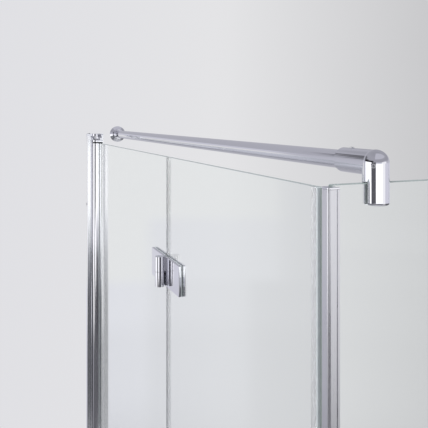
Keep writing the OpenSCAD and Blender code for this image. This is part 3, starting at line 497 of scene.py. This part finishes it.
for name, edge_mm in PLATED_EDGES.items():
    plated_piece(name, edge_mm)
glass_pane("inner_glass", Y_AXIS, fold_side=1)
glass_pane("outer_glass", Y_AXIS, fold_side=-1)
glass_pane("side_glass", X_AXIS)
free_edge_seal()


# Studio: pale walls for the picture and behind the glass, panels and shade for what metal and glass mirror

# The walls round the enclosure: shares of a turn, from -X by way of -Y, with the colour there; the grey that
# deepens towards 0.875 and fades by 0.935 is painted shade in the room's corner
WALL_TONE_AND_CORNER_SHADE = [(0.00, "E0E0E4"), (0.55, "E0E0E4"), (0.875, "C6C6C8"), (0.90, "D4D4D6"), (0.935, "E4E4E6"),
             (0.965, "E2E2E5"), (1.00, "E0E0E4")]

# Brightness of what stands in the mirrored room
PANEL = 1.4
SHADE = 0.03
STRIPE = 0.12
LEFT_WALL = 0.84
FAR_WALL = 0.76
NEAR_WALL = 0.52

# What is mirrored, in rings from the floor up. Each ring has the two elevations in degrees between which
# it takes over from the one below, and the azimuths, from +X towards +Y, where each brightness starts
RINGS = [
    (-90, -90, [(-180, 0.45), (-145, 0.16), (140, 0.45)]),
    (-34, -24, [(-180, 0.50), (-171, 0.74), (-163, 0.64), (-153, 0.50), (-100, 0.12),
                (26, 0.90), (52, 0.10), (140, 0.50)]),
    (-21, -18, [(-180, 0.56), (-171, 0.80), (-163, 0.70), (-153, 0.56), (-132, 1.00), (-70, 0.10),
                (-12, 0.05), (6, 0.20), (16, 0.62), (28, 1.00), (52, 0.06), (66, 0.90), (80, 0.06),
                (140, NEAR_WALL)]),
    (-16.2, -14.8, [(-180, 0.60), (-171, LEFT_WALL), (-163, FAR_WALL), (-150, 0.60), (-132, PANEL),
                    (-86, 0.30), (-53, PANEL), (-28, 0.30), (-10, SHADE), (6, 0.40), (16, 0.72), (28, 1.05),
                    (52, SHADE), (112, NEAR_WALL)]),
    (-12.6, -12.0, [(-180, 0.60), (-171, LEFT_WALL), (-163, FAR_WALL), (-150, 0.60), (-132, PANEL),
                    (-84, 0.70), (-56, PANEL), (-22, 0.60), (2, 1.15), (52, 0.60), (140, NEAR_WALL)]),
    (-10.5, -9, [(-180, 0.60), (-171, LEFT_WALL), (-150, 0.60), (-132, PANEL), (-73, STRIPE), (-36, PANEL),
                 (22, 1.10), (47, 0.78), (120, 0.60), (140, NEAR_WALL)]),
    (-3, -0.5, [(-180, NEAR_WALL), (-171, 0.70), (-150, 0.58), (-132, PANEL), (-73, STRIPE), (-36, 0.62),
                (15, 1.10), (60, 0.60), (140, NEAR_WALL)]),
    (7, 9.5, [(-180, 0.50), (-142, SHADE), (-60, 0.42), (30, 0.60), (60, 0.42), (150, 0.50)]),
    (13, 15.5, [(-180, 0.50), (-148, 0.22), (-140, SHADE), (-55, 0.40), (150, 0.50)]),
    (19, 21.5, [(-180, 0.50), (-153.5, 0.18), (-105, 0.40), (150, 0.50)]),
    (24.5, 27, [(-180, 0.50), (-160, 0.18), (-130, 0.42), (150, 0.50)]),
    (33, 36, [(-180, 0.43), (-45, 0.60), (75, 0.43)]),
    (50, 70, [(-180, 0.40), (-45, 0.60), (75, 0.40)]),
]
RING_BLUR_DEGREES = 1.5
# Surroundings brighter than this are lit white, and the dimmer ones have this lavender-grey tint
WHITE_FROM = 0.8
WHITE = (1.0, 1.0, 1.0)
LAVENDER = (0.975, 0.975, 1.07)
# The even light that matt surfaces get
AMBIENT = "C8C8CA"
# A ray's count of mirrorings is a whole number, so that below this there was none
NO_MIRRORING = 0.5
# Sockets of the Mix node for colours, whose names are those of its other kinds too
FACTOR = 0
FIRST = 6
SECOND = 7
RESULT = 2


def room_tone(brightness):
    """The colour of a mirrored patch of the room"""
    tint = WHITE if brightness > WHITE_FROM else LAVENDER
    return tuple(brightness * share for share in tint) + (1.0,)


def ring_stops(steps):
    """Colour ramp stops for one ring, with a short blend at each change"""
    stops = []
    before = None
    for degree, tone in steps:
        if before is not None:
            stops.append(((degree + 180 - RING_BLUR_DEGREES) / 360, room_tone(before)))
        stops.append(((degree + 180) / 360, room_tone(tone)))
        before = tone
    stops.append((1.0, room_tone(before)))
    return stops


def make_world():
    """Shows the walls to the camera and to rays that come straight through glass, the rings to mirrored rays,
    also those that pass through glass, and an even light to the rest"""
    world = bpy.data.worlds.new("studio")
    bpy.context.scene.world = world
    world.use_nodes = True
    tree = world.node_tree
    tree.nodes.clear()
    direction = add(tree, "TexCoord").outputs["Generated"]
    parts = add(tree, "SeparateXYZ", inputs={"Vector": direction})
    height = parts.outputs["Z"]
    turn = add(tree, "Math", {"operation": "ARCTAN2"}, {0: parts.outputs["Y"], 1: parts.outputs["X"]})
    place = add(tree, "MapRange", inputs={"Value": turn, "From Min": -math.pi, "From Max": math.pi})
    walls = add(tree, "ValToRGB", inputs={"Fac": place},
                stops=[(x, linear(colour)) for x, colour in WALL_TONE_AND_CORNER_SHADE])
    mirrored = None
    for low, high, steps in RINGS:
        ring = add(tree, "ValToRGB", inputs={"Fac": place}, stops=ring_stops(steps)).outputs["Color"]
        if mirrored:
            share = add(tree, "MapRange", {"interpolation_type": "SMOOTHSTEP"}, {
                "Value": height, "From Min": math.sin(math.radians(low)),
                "From Max": math.sin(math.radians(high))})
            mixed = add(tree, "Mix", {"data_type": "RGBA"}, {FACTOR: share, FIRST: mirrored, SECOND: ring})
            ring = mixed.outputs[RESULT]
        mirrored = ring
    path = add(tree, "LightPath")
    unmirrored = add(tree, "Math", {"operation": "LESS_THAN"}, {
        0: path.outputs["Glossy Depth"], 1: NO_MIRRORING})
    through_glass = add(tree, "Math", {"operation": "MULTIPLY"}, {
        0: path.outputs["Is Transmission Ray"], 1: unmirrored})
    seen = add(tree, "Math", {"operation": "MAXIMUM"}, {0: path.outputs["Is Camera Ray"], 1: through_glass})
    mirror = add(tree, "Math", {"operation": "MAXIMUM"}, {
        0: path.outputs["Is Glossy Ray"], 1: path.outputs["Is Transmission Ray"]})
    unseen = add(tree, "Mix", {"data_type": "RGBA"}, {
        FACTOR: mirror, FIRST: linear(AMBIENT), SECOND: mirrored})
    shown = add(tree, "Mix", {"data_type": "RGBA"}, {
        FACTOR: seen, FIRST: unseen.outputs[RESULT], SECOND: walls})
    sky = add(tree, "Background", inputs={"Color": shown.outputs[RESULT], "Strength": 1.0})
    add(tree, "OutputWorld", inputs={"Surface": sky})


LAMP_PLACE = Vector((0.6, -1.2, 3.6))
LAMP_AIM = Vector((0, 0, 0.9))
LAMP_SIZE = 2.4
LAMP_WATTS = 60


def make_lamp():
    """A broad lamp overhead, which shades matt surfaces and isn't seen, mirrored or seen through glass"""
    data = bpy.data.lights.new("overhead", "AREA")
    data.shape = "SQUARE"
    data.size = LAMP_SIZE
    data.energy = LAMP_WATTS
    lamp = bpy.data.objects.new("overhead", data)
    lamp.location = LAMP_PLACE
    lamp.rotation_euler = (LAMP_AIM - LAMP_PLACE).to_track_quat("-Z", "Y").to_euler()
    lamp.visible_glossy = False
    lamp.visible_camera = False
    lamp.visible_transmission = False
    bpy.context.scene.collection.objects.link(lamp)


# The floor: its radius, the circles at which it starts to fade and is gone, and its depth below the pieces
FLOOR_RADIUS = 2.4
FLOOR_FADE = 1.3
FLOOR_GONE = FLOOR_RADIUS * 0.98
FLOOR_DROP = 0.0004
FLOOR_CORNERS = 96


def make_floor():
    """A pale floor that fades into the surroundings, so that its rim never shows"""
    mesh = bpy.data.meshes.new("floor")
    shape = bmesh.new()
    bmesh.ops.create_circle(shape, cap_ends=True, radius=FLOOR_RADIUS, segments=FLOOR_CORNERS)
    shape.to_mesh(mesh)
    shape.free()
    floor = bpy.data.objects.new("floor", mesh)
    floor.location = (0, 0, -FLOOR_DROP)
    bpy.context.scene.collection.objects.link(floor)
    made, tree = new_material("pale_screed_floor")
    place = add(tree, "TexCoord").outputs["Object"]
    stone_place = add(tree, "Mapping", inputs={"Vector": place, "Scale": per_metre(40, 40, 40)})
    stone = add(tree, "TexNoise", inputs={"Vector": stone_place, "Scale": 1.0, "Detail": 4.0})
    tone = add(tree, "ValToRGB", inputs={"Fac": stone},
               stops=[(NOISE_LOW, linear("DEDEE0")), (NOISE_HIGH, linear("E6E6E8"))])
    matt = add(tree, "BsdfPrincipled", inputs={"Base Color": tone, "Roughness": 0.8})
    distance = add(tree, "VectorMath", {"operation": "LENGTH"}, {0: place})
    share = add(tree, "MapRange", {"interpolation_type": "SMOOTHSTEP"}, {
        "Value": distance.outputs["Value"], "From Min": FLOOR_FADE, "From Max": FLOOR_GONE})
    clear = add(tree, "BsdfTransparent")
    mixed = add(tree, "MixShader", inputs={"Fac": share, 1: matt, 2: clear})
    add(tree, "OutputMaterial", inputs={"Surface": mixed})
    paint(floor, made)


make_world()
make_lamp()
make_floor()

bpy.context.scene.view_settings.view_transform = "Standard"
